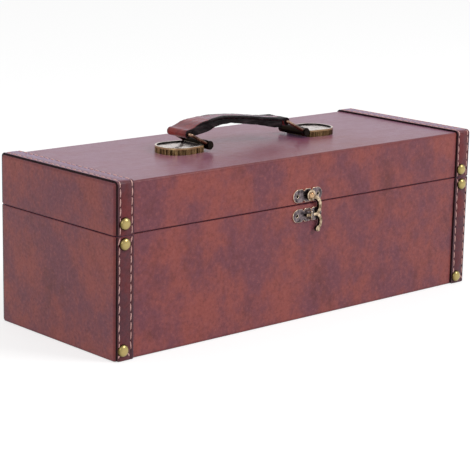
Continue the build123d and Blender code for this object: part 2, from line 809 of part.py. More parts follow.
# Hinges: two butt hinges with their knuckles standing clear of the back
def hinge_leaf_part(centre, up):
    """A leaf above (up = 1) or below (up = -1) the seam, with its share of the knuckles."""
    pitch = hinge_length / knuckle_count
    near = knuckle_radius + leaf_gap
    with BuildPart() as leaf:
        with BuildSketch(back):
            with Locations((-centre, seam_height + up * (near + hinge_leaf) / 2)):
                Rectangle(hinge_length, hinge_leaf - near)
        extrude(amount=hinge_thickness)
        for knuckle in range(knuckle_count):
            if (knuckle % 2 == 0) == (up < 0):
                start = centre - hinge_length / 2 + knuckle * pitch + knuckle_gap / 2
                with BuildSketch(Plane.YZ.offset(start)):
                    with Locations((hinge_axis_y, seam_height)):
                        Circle(knuckle_radius)
                    with Locations((half_depth + hinge_thickness / 2, seam_height + up * near / 2)):
                        Rectangle(hinge_thickness, near)
                    with Locations((hinge_axis_y, seam_height)):
                        Circle(hinge_pin_radius + hinge_pin_gap, mode=Mode.SUBTRACT)
                extrude(amount=pitch - knuckle_gap)
        sink = min(hinge_screw_head - hinge_screw_radius, hinge_thickness - hinge_pin_gap)
        hole = hinge_screw_radius + shank_gap
        with BuildSketch(back):
            for side in (-1, 1):
                with Locations(
                    (-centre + side * hinge_screw_spacing / 2, seam_height + up * hinge_screw_offset)
                ):
                    Circle(hole)
        extrude(amount=hinge_thickness, mode=Mode.SUBTRACT)
        for side in (-1, 1):
            spot = back.offset(hinge_thickness - sink / 2).location * Location(
                (-centre + side * hinge_screw_spacing / 2, seam_height + up * hinge_screw_offset, 0)
            )
            with Locations(spot):
                Cone(hole, hole + sink, sink, mode=Mode.SUBTRACT)
    return leaf.part


for side, centre in (("left", hinge_centres[0]), ("right", hinge_centres[1])):
    save(hinge_leaf_part(centre, -1), "hinge_base_leaf_" + side)
    save(hinge_leaf_part(centre, 1), "hinge_lid_leaf_" + side)
    with BuildPart() as hinge_pin:
        with BuildSketch(Plane.YZ.offset(centre - hinge_length / 2)):
            with Locations((hinge_axis_y, seam_height)):
                Circle(hinge_pin_radius)
        extrude(amount=hinge_length)
    save(hinge_pin.part, "hinge_pin_" + side)

sink = min(hinge_screw_head - hinge_screw_radius, hinge_thickness - hinge_pin_gap)
hinge_screw_length = hinge_thickness + hinge_screw_bite - shank_gap
hinge_screw = turned(
    [
        (0, 0), (0, -hinge_screw_length), (hinge_screw_radius, -hinge_screw_length),
        (hinge_screw_radius, -sink), (hinge_screw_radius + sink, 0),
    ]
)
leaf_face = back.offset(hinge_thickness)
save(placed(hinge_screw, leaf_face, lid_screws_seen), "hinge_lid_screws")
save(placed(hinge_screw, leaf_face, base_screws_seen), "hinge_base_screws")
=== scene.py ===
from math import cos, pi, radians, sin
from random import Random

import bpy
from mathutils import Matrix, Vector, noise


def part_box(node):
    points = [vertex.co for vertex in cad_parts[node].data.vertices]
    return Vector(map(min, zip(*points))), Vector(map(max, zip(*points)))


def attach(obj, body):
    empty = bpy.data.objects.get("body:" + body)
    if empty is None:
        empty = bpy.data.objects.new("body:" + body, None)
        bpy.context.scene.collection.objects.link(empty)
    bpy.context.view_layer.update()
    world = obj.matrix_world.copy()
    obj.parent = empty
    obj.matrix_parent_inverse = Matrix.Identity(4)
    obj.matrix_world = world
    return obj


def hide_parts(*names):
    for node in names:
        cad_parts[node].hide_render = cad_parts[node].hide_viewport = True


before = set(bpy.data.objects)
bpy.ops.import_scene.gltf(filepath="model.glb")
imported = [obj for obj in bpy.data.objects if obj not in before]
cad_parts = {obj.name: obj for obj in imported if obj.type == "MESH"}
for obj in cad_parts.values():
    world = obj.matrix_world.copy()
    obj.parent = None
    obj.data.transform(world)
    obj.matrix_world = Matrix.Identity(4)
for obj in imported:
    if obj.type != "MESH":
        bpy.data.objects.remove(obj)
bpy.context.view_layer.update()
bpy.ops.object.select_all(action="DESELECT")

# The stand: the box is seen from its front left corner, a little above the lid, through a long
# lens. It stands on a plain white floor, in soft light from the front right with white all round.
look_azimuth = radians(42.147)
look_elevation = radians(13.084)
look_roll = radians(1.095)
look_distance = 1.2984
look_side = -0.00721
look_rise = 0.04895
look_lens = 131.47
film_width = 36.0
ahead = Vector((
    sin(look_azimuth) * cos(look_elevation),
    cos(look_azimuth) * cos(look_elevation),
    -sin(look_elevation),
))
level = ahead.cross(Vector((0, 0, 1))).normalized()
plumb = level.cross(ahead)
across = cos(look_roll) * level + sin(look_roll) * plumb
upright = cos(look_roll) * plumb - sin(look_roll) * level
stand = across * look_side + upright * look_rise - ahead * look_distance
bpy.ops.object.camera_add()
camera = bpy.context.object
facing = Matrix((across, upright, -ahead)).transposed().to_4x4()
camera.matrix_world = Matrix.Translation(stand) @ facing
camera.data.sensor_width = film_width
camera.data.lens = look_lens
bpy.context.scene.camera = camera
bpy.context.scene.view_settings.view_transform = "Standard"

box_heart = (0, 0, 0.06)


def soft_lamp(place, size, power):
    """A square diffused lamp at a place, turned towards the box."""
    bpy.ops.object.light_add(type="AREA", location=place)
    lamp = bpy.context.object
    lamp.data.size = size
    lamp.data.energy = power
    lamp.rotation_euler = (Vector(box_heart) - Vector(place)).to_track_quat("-Z", "Y").to_euler()


soft_lamp(place=(1.1, -1.7, 1.7), size=0.9, power=26)
soft_lamp(place=(-1.6, -0.9, 0.9), size=1.2, power=8)


class Finish:
    """A value, colour or vector in a node tree, and the sums that it can be put through."""

    def __init__(self, tree, socket=None):
        self.tree = tree
        self.socket = socket

    def node(self, kind, settings, inputs, output=0):
        """Add a node, set it up, feed its sockets and give back one of its outputs."""
        made = self.tree.nodes.new("ShaderNode" + kind)
        for name, value in settings.items():
            setattr(made, name, value)
        for name, value in inputs.items():
            if isinstance(value, Finish):
                self.tree.links.new(value.socket, made.inputs[name])
            else:
                made.inputs[name].default_value = value
        return Finish(self.tree, made.outputs[output]) if len(made.outputs) else None

    def sum(self, operation, first, second=0.0):
        return self.node("Math", {"operation": operation}, {0: first, 1: second})

    def __add__(self, other):
        return self.sum("ADD", self, other)

    def __radd__(self, other):
        return self.sum("ADD", other, self)

    def __sub__(self, other):
        return self.sum("SUBTRACT", self, other)

    def __rsub__(self, other):
        return self.sum("SUBTRACT", other, self)

    def __mul__(self, other):
        return self.sum("MULTIPLY", self, other)

    def __rmul__(self, other):
        return self.sum("MULTIPLY", other, self)

    def __abs__(self):
        return self.sum("ABSOLUTE", self)

    def rise(self, low, high):
        """A smooth step from 0 at low to 1 at high."""
        bounds = {"Value": self, "From Min": low, "From Max": high}
        return self.node("MapRange", {"interpolation_type": "SMOOTHSTEP"}, bounds)

    def tint(self, first, second):
        """The first colour where this is 0, the second where it is 1."""
        return self.node("Mix", {"data_type": "RGBA"}, {0: self, 6: first, 7: second}, output=2)

    def noise(self, scale, detail=2.0, roughness=0.5):
        """Cloudy noise over this vector, in features per metre."""
        inputs = {"Vector": self, "Scale": scale, "Detail": detail, "Roughness": roughness}
        return self.node("TexNoise", {}, inputs)

    def stretched(self, x, y, z):
        """This vector with each axis scaled."""
        return self.node("VectorMath", {"operation": "MULTIPLY"}, {0: self, 1: (x, y, z)})


def seen_directly(tree):
    """1 for rays that show the surroundings themselves: to the eye, in metal or through glass."""
    eye, mirror, glass = (
        tree.node("LightPath", {}, {}, output=f"Is {kind} Ray")
        for kind in ("Camera", "Glossy", "Transmission")
    )
    return tree.sum("MAXIMUM", tree.sum("MAXIMUM", eye, mirror), glass)


white = (1.0, 1.0, 1.0, 1.0)
room_light = 0.62
world = bpy.data.worlds.new("white_room")
bpy.context.scene.world = world
world.use_nodes = True
world.node_tree.nodes.clear()
room = Finish(world.node_tree)
room_strength = seen_directly(room) * (1 - room_light) + room_light
backdrop = room.node("Background", {}, {"Color": white, "Strength": room_strength})
room.node("OutputWorld", {}, {"Surface": backdrop})

floor_half = 4.0
floor_albedo = 0.5
floor_lift = 0.62
bpy.ops.mesh.primitive_plane_add(size=2 * floor_half)
floor = bpy.context.object
floor.name = "floor"
floor_paint = bpy.data.materials.new("floor_paint")
floor_paint.use_nodes = True
floor_paint.node_tree.nodes.clear()
paint = Finish(floor_paint.node_tree)
matt = paint.node("BsdfDiffuse", {}, {"Color": (floor_albedo, floor_albedo, floor_albedo, 1.0)})
lift = paint.node("Emission", {}, {"Color": white, "Strength": seen_directly(paint) * floor_lift})
paint.node("OutputMaterial", {}, {"Surface": paint.node("AddShader", {}, {0: matt, 1: lift})})
floor.data.materials.append(floor_paint)


# The carcase: fibreboard glued up into an open tray and a shallow lid. Next to nothing of it
# shows, since leather covers it outside and lining inside.
def finish(name):
    """A new empty material, its node tree and the place on the piece that its patterns read."""
    made = bpy.data.materials.new(name)
    made.use_nodes = True
    made.node_tree.nodes.clear()
    tree = Finish(made.node_tree)
    return made, tree, tree.node("TexCoord", {}, {}, output="Object")


def surface(tree, colour, roughness, height, depth, fixed):
    """Join a colour, a roughness and a relief of some depth into the material's shader."""
    relief = tree.node("Bump", {}, {"Height": height, "Distance": depth, "Strength": 1.0})
    inputs = {"Base Color": colour, "Roughness": roughness, "Normal": relief}
    inputs.update(fixed)
    shader = tree.node("BsdfPrincipled", {}, inputs)
    tree.node("OutputMaterial", {}, {"Surface": shader})


def dress(piece, *materials):
    """Give a piece its materials in place of any it has."""
    piece.data.materials.clear()
    for material in materials:
        piece.data.materials.append(material)


def nodes_named(*words):
    """The frame's nodes whose name holds any of the words."""
    return [node for name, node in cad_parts.items() if any(word in name for word in words)]


board_dark = (0.20, 0.12, 0.06, 1)
board_pale = (0.42, 0.29, 0.17, 1)
board_roughness = 0.85
board_relief = 0.0002
fibreboard, tree, place = finish("fibreboard")
fibres = place.stretched(1, 1, 6).noise(260, 5, 0.7)
surface(tree, fibres.tint(board_dark, board_pale), board_roughness, fibres, board_relief, {})
for node in nodes_named("_board"):
    dress(node, fibreboard)


# The skin: mottled red-brown leatherette, one sheet for the base and one for the lid, glued over
# the boards and turned in at the rims. The print is cloudy, and its edges are rubbed darker. The
# top is painted a deeper red as shade, with a painted lilac reflection over it.
deep_share = 0.42
pale_gains = (1.35, 1.6, 1.6)
blotch_strength = 0.55
pale_strength = 0.42
deep_strength = 0.50
leather_shine = 0.20
leather_haze = (0.48, 0.44, 1.0, 1.0)
haze_spread = 0.3


def leather(name, red, grey, cloud, grain, depth, gloss, sheen, marks=()):
    """Printed leather: two colours in soft clouds, speckled and crinkled, with marks laid over."""
    made, tree, place = finish(name)
    deep = tuple(deep_share * value for value in red[:3]) + (1.0,)
    pale = tuple(gain * value for gain, value in zip(pale_gains, red)) + (1.0,)
    clouds = place.stretched(1, 1, 0.8).noise(cloud, 7, 0.66)
    blotches = place.stretched(1.1, 1.1, 0.75).noise(cloud * 1.3, 8, 0.72)
    speckle = place.noise(grain * 0.45, 3, 0.7)
    colour = clouds.rise(0.36, 0.62).tint(red, grey)
    colour = (blotches.rise(0.50, 0.74) * blotch_strength).tint(colour, deep)
    colour = (speckle.rise(0.48, 0.78) * pale_strength).tint(colour, pale)
    colour = ((1 - speckle.rise(0.24, 0.52)) * deep_strength).tint(colour, deep)
    for mark, mark_colour in marks:
        colour = mark(tree, place).tint(colour, mark_colour)
    pebbles = tree.node("TexVoronoi", {"feature": "F1"}, {"Vector": place, "Scale": grain})
    crinkles = place.stretched(1, 1, 3.0).noise(grain * 0.2, 5, 0.72)
    height = pebbles * 0.4 + crinkles * 1.6 + speckle * 0.5
    fixed = {
        "Specular IOR Level": leather_shine, "Sheen Weight": sheen,
        "Sheen Roughness": haze_spread, "Sheen Tint": leather_haze,
    }
    surface(tree, colour, gloss + crinkles * 0.14, height, depth, fixed)
    return made


skin_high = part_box("base_leather")[1]
lid_low, lid_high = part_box("lid_leather")
half_length = lid_high.x
half_depth = lid_high.y
top = lid_high.z
seam_height = (skin_high.z + lid_low.z) / 2
edge_wear = (0.0008, 0.0032)
edge_darkness = 0.5
# Darker along the rims at the seam between lid and base.
seam_band = (0.0006, 0.0014)
seam_darkness = 0.8
top_shade_strength = 0.8


def split(tree, place):
    """The X, Y and Z of a place as three values."""
    axes = tree.node("SeparateXYZ", {}, {"Vector": place}, output="X").socket.node.outputs
    return [Finish(tree.tree, axes[axis]) for axis in "XYZ"]


def skin_edges(tree, place):
    """The strip along each edge of the box, where its two nearest faces meet, and the rims."""
    x, y, z = split(tree, place)
    end = half_length - abs(x)
    side = half_depth - abs(y)
    over = tree.sum("MINIMUM", top - z, z)
    nearer = tree.sum("MINIMUM", end, side)
    further = tree.sum("MAXIMUM", end, side)
    second = tree.sum("MAXIMUM", nearer, tree.sum("MINIMUM", further, over))
    soft = second + place.noise(90, 3) * 0.0012
    rim = abs(z - seam_height) + place.noise(220, 3) * 0.0006
    worn = (1 - soft.rise(*edge_wear)) * edge_darkness
    return tree.sum("MAXIMUM", worn, (1 - rim.rise(*seam_band)) * seam_darkness)


def facing_up(tree):
    """1 on faces that look up, 0 on walls."""
    return split(tree, tree.node("TexCoord", {}, {}, output="Normal"))[2].rise(0.7, 0.95)


def painted_top_shade(tree, place):
    """The whole top, given a deeper red than the walls as painted shade."""
    return facing_up(tree) * top_shade_strength


def painted_top_sheen(tree, place):
    """A painted lilac reflection of the pale room on the top, least along the middle of the front.
    """
    x, y, z = split(tree, place)
    spread = abs(x) + y + place.noise(55, 6, 0.66) * 0.26
    patches = place.stretched(1, 2.2, 1).noise(42, 6, 0.68).rise(0.40, 0.60)
    return facing_up(tree) * spread.rise(0.09, 0.25) * (patches * 0.4 + 0.6)


skin_red = (0.303, 0.079, 0.069, 1)
skin_grey = (0.188, 0.060, 0.079, 1)
# The top's deeper red is painted shade, and its lilac is a painted reflection of the pale room.
top_shade_red = (0.190, 0.026, 0.024, 1)
top_sheen_lilac = (0.245, 0.092, 0.128, 1)
edge_red = (0.100, 0.010, 0.012, 1)
box_leather = leather(
    "box_leather", skin_red, skin_grey, cloud=30, grain=950, depth=0.00010, gloss=0.24, sheen=0.20,
    marks=[(painted_top_shade, top_shade_red), (painted_top_sheen, top_sheen_lilac), (skin_edges, edge_red)],
)
for name in ("base_leather", "lid_leather"):
    dress(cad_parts[name], box_leather)


# Underneath and inside: black felt under the box, and wine velvet over card and over the two
# foam rests that carry a lying bottle. The rests are cut from foam, so their edges are round.
nap_depth = 0.0003
nap_roughness = 0.9
nap_shine = 0.1


def cloth(name, colour, light, nap, sheen):
    """Cloth with a short nap that shows lighter where it is brushed."""
    made, tree, place = finish(name)
    brushed = place.noise(35, 3).rise(0.35, 0.7)
    tufts = place.noise(nap, 3, 0.7)
    mixed = (brushed * 0.5 + tufts * 0.5).tint(colour, light)
    fixed = {
        "Sheen Weight": sheen, "Sheen Roughness": 0.5, "Sheen Tint": light,
        "Specular IOR Level": nap_shine,
    }
    surface(tree, mixed, nap_roughness, tufts, nap_depth, fixed)
    return made


felt_black = (0.012, 0.011, 0.011, 1)
felt_worn = (0.035, 0.032, 0.032, 1)
velvet_deep = (0.080, 0.010, 0.018, 1)
velvet_light = (0.170, 0.026, 0.040, 1)
felt = cloth("black_felt", felt_black, felt_worn, nap=1600, sheen=0.2)
velvet = cloth("wine_velvet", velvet_deep, velvet_light, nap=2200, sheen=0.8)
dress(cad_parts["base_bottom_cover"], felt)
for node in nodes_named("lining"):
    dress(node, velvet)

weld = 1e-6
rest_voxel = 0.0016
rest_smoothing = 6


def select_only(piece):
    """Make a piece the only selected and the active one."""
    bpy.ops.object.select_all(action="DESELECT")
    piece.select_set(True)
    bpy.context.view_layer.objects.active = piece


def another(piece):
    """A further copy of a piece, with its own mesh."""
    copy = piece.copy()
    copy.data = piece.data.copy()
    bpy.context.scene.collection.objects.link(copy)
    return copy


def copied(node_name, new_name):
    """A new piece of a frame node's shape, its triangles merged into one mesh."""
    piece = another(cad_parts[node_name])
    for key in list(piece.keys()):
        del piece[key]
    piece.parent = None
    piece.name = new_name
    select_only(piece)
    bpy.ops.object.mode_set(mode="EDIT")
    bpy.ops.mesh.select_all(action="SELECT")
    bpy.ops.mesh.remove_doubles(threshold=weld)
    bpy.ops.object.mode_set(mode="OBJECT")
    return piece


def modified(piece, kind, settings):
    """Add a modifier with its settings and apply it."""
    select_only(piece)
    modifier = piece.modifiers.new(kind.lower(), kind)
    for name, value in settings.items():
        setattr(modifier, name, value)
    bpy.ops.object.modifier_apply(modifier=modifier.name)


def softened(piece, voxel, passes):
    """Rebuild a piece in even faces and round all its edges."""
    modified(piece, "REMESH", {"mode": "VOXEL", "voxel_size": voxel})
    modified(piece, "SMOOTH", {"factor": 0.5, "iterations": passes})
    bpy.ops.object.shade_smooth()


for name in ("bottle_body_rest", "bottle_neck_rest"):
    rest = copied(name, name.replace("bottle", "padded"))
    softened(rest, rest_voxel, rest_smoothing)
    dress(rest, velvet)
    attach(rest, "base")
    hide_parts(name)


# The straps: bands of thicker, darker leather with black painted edges, one on each end of the
# lid and four on the base, sewn down with two rows of fat pinkish thread before they are nailed.
strap_low, strap_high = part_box("lid_strap_right")
strap_thickness = strap_high.z - top
strap_face = half_depth + strap_thickness
strap_middle = (strap_low.x + strap_high.x) / 2
strap_width = strap_high.x - strap_low.x
row_offset = 0.00487
lid_rows = strap_middle - 0.00025
base_rows = strap_middle + 0.0004
groove_shade_strength = 0.55
margin_darkness = 0.7
strap_sheen_strength = 0.7


def from_middle(tree, place):
    """The distance sideways from the middle line between a strap's two rows."""
    x, y, z = split(tree, place)
    middle = tree.sum("GREATER_THAN", z, seam_height) * (lid_rows - base_rows) + base_rows
    return abs(abs(x) - middle) + place.noise(300, 2) * 0.0004 - 0.0002


def painted_row_shade(tree, place):
    """Painted shade in the pressed lines that the stitches lie in."""
    return (1 - abs(from_middle(tree, place) - row_offset).rise(0.0004, 0.0010)) * groove_shade_strength


def strap_margins(tree, place):
    """The dyed margins outside the rows, on the upright faces."""
    low_down = 1 - split(tree, place)[2].rise(top - 0.002, top)
    outside = from_middle(tree, place).rise(row_offset + 0.0004, row_offset + 0.0014)
    return outside * low_down * margin_darkness


def painted_strap_sheen(tree, place):
    """The part of each strap that lies on top, with the same painted lilac reflection of the room.
    """
    return facing_up(tree) * strap_sheen_strength


strap_red = (0.162, 0.028, 0.030, 1)
strap_grey = (0.100, 0.034, 0.046, 1)
# The lilac on the straps' tops is a painted reflection of the pale room.
strap_sheen_lilac = (0.260, 0.115, 0.150, 1)
margin_dye = (0.056, 0.028, 0.036, 1)
# The pressed lines along the rows are painted dark as shade.
groove_shade_colour = (0.024, 0.008, 0.010, 1)
strap_leather = leather(
    "strap_leather", strap_red, strap_grey, cloud=44, grain=1100, depth=0.00014, gloss=0.24,
    sheen=0.40,
    marks=[(painted_strap_sheen, strap_sheen_lilac), (strap_margins, margin_dye), (painted_row_shade, groove_shade_colour)],
)

paint_black = (0.012, 0.004, 0.005, 1)
paint_worn = (0.024, 0.008, 0.010, 1)
paint_relief = 0.00025
paint_shine = 0.08
strap_edge, tree, place = finish("strap_edge")
waves = place.noise(420, 3)
painted = waves.rise(0.45, 0.8).tint(paint_black, paint_worn)
surface(
    tree, painted, 0.45 + waves * 0.2, waves, paint_relief, {"Specular IOR Level": paint_shine},
)


def edit(piece, mode="VERT"):
    """Open a piece in edit mode with nothing selected."""
    select_only(piece)
    bpy.ops.object.mode_set(mode="EDIT")
    bpy.ops.mesh.select_mode(type=mode)
    bpy.ops.mesh.select_all(action="DESELECT")


def pick(piece, kind, test):
    """Select a piece's vertices, edges or faces that pass a test, in edit mode."""
    bpy.ops.mesh.select_all(action="DESELECT")
    bpy.ops.object.mode_set(mode="OBJECT")
    for item in getattr(piece.data, kind):
        item.select = bool(test(item))
    bpy.ops.object.mode_set(mode="EDIT")


bend_radius = 0.0017
bend_steps = 8
groove_half = 0.0009
groove_depth = 0.0003
strap_corner = 0.0006
corner_steps = 3
corner_cut = 0.0015
corner_leans = (0.35, 0.8)
edge_lean = 0.55
strap_crease = radians(50)


def strap_band(name, side, rows, turns):
    """A strap's cross-section, grooved along its rows, drawn up one face and round the lid."""
    low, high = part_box(name)
    front = -1 if turns or low.y < 0 else 1
    outer = front * strap_face
    middle = side * strap_middle
    centre = (middle, outer - front * strap_thickness / 2, low.z)
    bpy.ops.mesh.primitive_plane_add(size=1, location=centre)
    piece = bpy.context.object
    piece.name = name.replace("strap", "leather_strap")
    bpy.ops.object.transform_apply(location=True, rotation=True, scale=True)
    edit(piece)
    bpy.ops.mesh.select_all(action="SELECT")
    bpy.ops.transform.resize(value=(strap_width, strap_thickness, 1), center_override=centre)
    cuts = [
        side * rows + row * row_offset + step * groove_half
        for row in (-1, 1) for step in (-1, 0, 1)
    ]
    for cut in cuts:
        bpy.ops.mesh.select_all(action="SELECT")
        bpy.ops.mesh.bisect(plane_co=(cut, 0, 0), plane_no=(1, 0, 0))

    def outer_at(vertex, *widths):
        on_face = abs(vertex.co.y - outer) < weld
        return on_face and min(abs(vertex.co.x - width) for width in widths) < weld

    for groove in (cuts[1], cuts[4]):
        pick(piece, "vertices", lambda vertex: outer_at(vertex, groove))
        bpy.ops.transform.translate(value=(0, -front * groove_depth, 0))
    ends = (middle - strap_width / 2, middle + strap_width / 2)
    pick(piece, "vertices", lambda vertex: outer_at(vertex, *ends))
    bpy.ops.mesh.bevel(offset=strap_corner, segments=corner_steps, affect="VERTICES")
    bpy.ops.mesh.select_mode(type="FACE")
    bpy.ops.mesh.select_all(action="SELECT")
    run_up = (top - bend_radius if turns else high.z) - low.z
    bpy.ops.mesh.extrude_region_move(TRANSFORM_OT_translate={"value": (0, 0, run_up)})
    if turns:
        reach = half_depth - bend_radius
        for y, run in ((-reach, (0, 2 * reach, 0)), (reach, (0, 0, -run_up))):
            bpy.ops.mesh.spin(
                steps=bend_steps, angle=pi / 2, center=(middle, y, top - bend_radius),
                axis=(1, 0, 0),
            )
            bpy.ops.mesh.extrude_region_move(TRANSFORM_OT_translate={"value": run})
    bpy.ops.mesh.select_all(action="SELECT")
    bpy.ops.mesh.remove_doubles(threshold=weld)
    tips = [(low.z, -1)] if turns else [(low.z, -1), (high.z, 1)]
    for tip, way in tips:
        for end in (-1, 1):
            sharp = Vector((middle + end * strap_width / 2, 0, tip))
            corner = sharp - Vector((end, 0, way)) * corner_cut
            for lean in corner_leans:
                away = Vector((end * sin(lean * pi / 2), 0, way * cos(lean * pi / 2)))
                bpy.ops.mesh.select_all(action="SELECT")
                bpy.ops.mesh.bisect(
                    plane_co=corner + away * corner_cut, plane_no=away, clear_outer=True,
                    use_fill=True,
                )
    bpy.ops.mesh.normals_make_consistent(inside=False)
    bpy.ops.object.mode_set(mode="OBJECT")
    return piece


straps = []
for side_name, side in (("left", -1), ("right", 1)):
    straps.append((f"lid_strap_{side_name}", side, lid_rows, True))
    for face_name in ("front", "back"):
        straps.append((f"base_strap_{face_name}_{side_name}", side, base_rows, False))
for name, side, rows, turns in straps:
    band = strap_band(name, side, rows, turns)
    dress(band, strap_leather, strap_edge)
    for face in band.data.polygons:
        face.material_index = int(abs(face.normal.x) > edge_lean)
    select_only(band)
    bpy.ops.object.shade_smooth_by_angle(angle=strap_crease)
    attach(band, "lid" if turns else "base")
    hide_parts(name)


# The stitching: two rows of thick waxed linen thread down each strap, about four stitches to the
# inch, each one pulled down into the leather at its ends.
thread_shade = (0.50, 0.25, 0.22, 1)
thread_pink = (0.86, 0.52, 0.47, 1)
thread_roughness = 0.6
thread_relief = 0.0002
thread, tree, place = finish("linen_thread")
strands = place.noise(1500, 4, 0.6)
thread_colour = strands.rise(0.3, 0.7).tint(thread_shade, thread_pink)
wax = {"Sheen Weight": 0.5, "Sheen Roughness": 0.3, "Sheen Tint": (0.8, 0.75, 1.0, 1.0)}
surface(tree, thread_colour, thread_roughness, strands, thread_relief, wax)

stitch_pitch = 0.00635
stitch_gap = 0.0004
stitch_half_width = 0.00040
stitch_half_height = 0.00050
stitch_tip = 0.0024
stitch_dip = 0.00025
bpy.ops.mesh.primitive_uv_sphere_add(segments=8, ring_count=6, radius=1, rotation=(pi / 2, 0, 0))
stitch = bpy.context.object
bpy.ops.object.transform_apply(location=True, rotation=True, scale=True)
edit(stitch)
bpy.ops.mesh.select_all(action="SELECT")
bpy.ops.transform.resize(
    value=(stitch_half_width, (stitch_pitch - stitch_gap) / 2, stitch_half_height),
    center_override=(0, 0, 0),
)
pick(stitch, "vertices", lambda vertex: abs(vertex.co.y) > stitch_tip)
bpy.ops.transform.translate(value=(0, 0, -stitch_dip))
bpy.ops.object.mode_set(mode="OBJECT")
bpy.ops.object.shade_smooth()


def strap_path(low, high, front, turns):
    """The length of a strap's outer face, and its point and normal at a distance along it."""
    bend = bend_radius + strap_thickness
    shoulder = top - bend_radius
    rise = shoulder - low if turns else high - low
    reach = half_depth - bend_radius
    corner = bend * pi / 2

    def at(run):
        if run <= rise or not turns:
            return (front * strap_face, low + run), (front, 0)
        run -= rise
        if run < corner:
            out = (-cos(run / bend), sin(run / bend))
            return (-reach + bend * out[0], shoulder + bend * out[1]), out
        run -= corner
        if run < 2 * reach:
            return (-reach + run, top + strap_thickness), (0, 1)
        run -= 2 * reach
        if run < corner:
            out = (sin(run / bend), cos(run / bend))
            return (reach + bend * out[0], shoulder + bend * out[1]), out
        run -= corner
        return (strap_face, shoulder - run), (1, 0)

    return (2 * rise + 2 * corner + 2 * reach if turns else rise), at


def joined(pieces, name):
    """Several pieces made into one under its own name."""
    select_only(pieces[0])
    for piece in pieces[1:]:
        piece.select_set(True)
    bpy.ops.object.join()
    pieces[0].name = name
    return pieces[0]


# Each stitch slips and leans a little. On the base the lowest one is a short knot across the row.
usual_slant = 0.05
slant_spread = 0.03
run_slip = 0.00012
row_slip = 0.0001
knot_slant = 0.6
after_knot_slant = 0.1
last_slant = 0.35
knot_run = 0.0037
knot_shift = 0.0011
knot_skew = 0.0009
knot_stretch = 1.7
chance = Random(7)
for name, side, rows, turns in straps:
    low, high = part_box(name)
    front = -1 if turns or low.y < 0 else 1
    length, at = strap_path(low.z, high.z, front, turns)
    count = round(length / stitch_pitch)
    pitch = length / count
    laid = []
    for row in (-1, 1):
        for number in range(count):
            slant = chance.gauss(usual_slant, slant_spread) * (-side)
            middle_run = (number + 0.5) * pitch + chance.gauss(0, run_slip)
            across_at = side * rows + row * row_offset + chance.gauss(0, row_slip)
            knotted = not turns and number == 0
            if knotted:
                slant = -row * knot_slant
                middle_run = knot_run
                across_at -= (knot_shift - row * side * knot_skew) * row
            elif not turns and number == 1:
                slant = -row * after_knot_slant
            elif not turns and number == count - 1:
                slant = -side * last_slant
            copy = another(stitch)
            for vertex in copy.data.vertices:
                u, v, w = vertex.co
                if knotted:
                    u, v = u * knot_stretch, v / knot_stretch
                u, v = u * cos(slant) + v * sin(slant), v * cos(slant) - u * sin(slant)
                point, out = at(middle_run + v)
                lift = w - groove_depth / 3
                vertex.co = (across_at + u, point[0] + out[0] * lift, point[1] + out[1] * lift)
            laid.append(copy)
    seam = joined(laid, name.replace("strap", "stitching"))
    edit(seam)
    bpy.ops.mesh.select_all(action="SELECT")
    bpy.ops.mesh.normals_make_consistent(inside=False)
    bpy.ops.object.mode_set(mode="OBJECT")
    dress(seam, thread)
    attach(seam, "lid" if turns else "base")
bpy.data.objects.remove(stitch)


# The nails: domed upholstery nails of pressed brass, one on each lid strap and two on each base
# strap, front and back, driven through the leather into the boards.
nail_rim_patina_and_shade = (0.060, 0.038, 0.011, 1)
nail_crown_wear_and_highlight = (0.46, 0.36, 0.145, 1)
nail_relief = 0.0001
nail_brass, tree, place = finish("nail_brass")
# Darker towards the dome's rim, partly patina and partly painted shade for the dark leather it
# reflects; lighter on its crown, partly rubbed and partly a painted highlight.
nail_rise = abs(split(tree, place)[1]) - strap_face
rim_to_crown = (nail_rise + place.noise(500, 3) * 0.0008).rise(0.0009, 0.0035)
brass_colour = rim_to_crown.tint(nail_rim_patina_and_shade, nail_crown_wear_and_highlight)
brass_roughness = 0.17 + place.noise(300, 3) * 0.15
surface(tree, brass_colour, brass_roughness, place.noise(160, 2), nail_relief, {"Metallic": 1.0})


def turned(name, profile, steps):
    """A round piece on the Z axis, spun from its half profile of radii and heights."""
    bpy.ops.mesh.primitive_plane_add(size=0.001)
    piece = bpy.context.object
    piece.name = name
    edit(piece)
    bpy.ops.mesh.select_all(action="SELECT")
    bpy.ops.mesh.merge(type="CENTER")
    (radius, height), *rest = profile
    bpy.ops.transform.translate(value=(radius, 0, height))
    for next_radius, next_height in rest:
        step = (next_radius - radius, 0, next_height - height)
        bpy.ops.mesh.extrude_vertices_move(TRANSFORM_OT_translate={"value": step})
        radius, height = next_radius, next_height
    bpy.ops.mesh.select_all(action="SELECT")
    bpy.ops.mesh.spin(steps=steps, angle=2 * pi, center=(0, 0, 0), axis=(0, 0, 1))
    bpy.ops.mesh.select_all(action="SELECT")
    bpy.ops.mesh.remove_doubles(threshold=2 * weld)
    bpy.ops.mesh.normals_make_consistent(inside=False)
    bpy.ops.object.mode_set(mode="OBJECT")
    bpy.ops.object.shade_smooth_by_angle(angle=metal_crease)
    return piece


